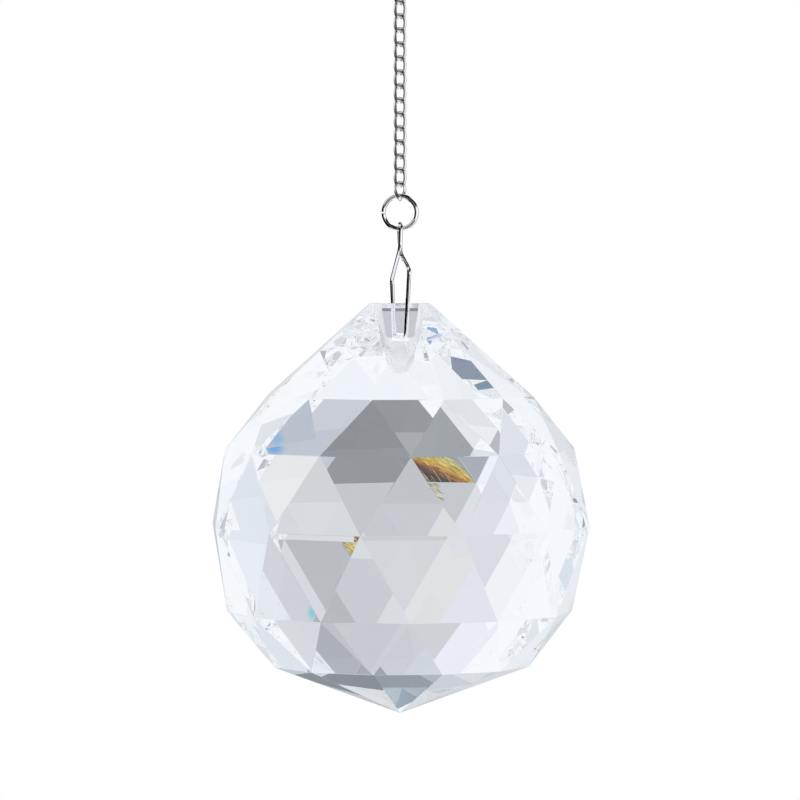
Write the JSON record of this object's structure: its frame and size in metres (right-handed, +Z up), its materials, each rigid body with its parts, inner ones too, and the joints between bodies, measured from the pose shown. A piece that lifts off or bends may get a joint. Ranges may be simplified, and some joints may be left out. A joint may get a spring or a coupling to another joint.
{
  "type": "crystal suncatcher",
  "caption": "Faceted clear crystal ball with a tapered neck, hung by a bent wire clip, a jump ring and a twisted curb chain from a plain top ring.",
  "frame": {"origin": "where the top ring bears on its hook: the inside of the ring's wire at its highest point", "axes": "+Z up along the chain, -Y towards the front of the ball, whose neck pocket and pin hole face -Y and +Y; the jump ring and the top ring lie in the XZ plane"},
  "size_m": [0.0584, 0.0584, 0.1276],
  "materials": {
    "crystal": "clear, colourless, polished facets; ground pockets and pin hole in the neck",
    "clip_wire": "bright silver plate, polished",
    "ring_wire": "bright silver plate, polished",
    "chain_wire": "bright silver plate, polished",
    "top_ring_wire": "bright silver plate, polished"
  },
  "bodies": {
    "root": {"crystal_ball": "crystal", "wire_clip": "clip_wire", "jump_ring": "ring_wire", "chain_link_01": "chain_wire", "chain_link_02": "chain_wire", "chain_link_03": "chain_wire", "chain_link_04": "chain_wire", "chain_link_05": "chain_wire", "chain_link_06": "chain_wire", "chain_link_07": "chain_wire", "chain_link_08": "chain_wire", "chain_link_09": "chain_wire", "chain_link_10": "chain_wire", "chain_link_11": "chain_wire", "chain_link_12": "chain_wire", "chain_link_13": "chain_wire", "chain_link_14": "chain_wire", "chain_link_15": "chain_wire", "chain_link_16": "chain_wire", "chain_link_17": "chain_wire", "top_ring": "top_ring_wire"}
  },
  "joints": []
}
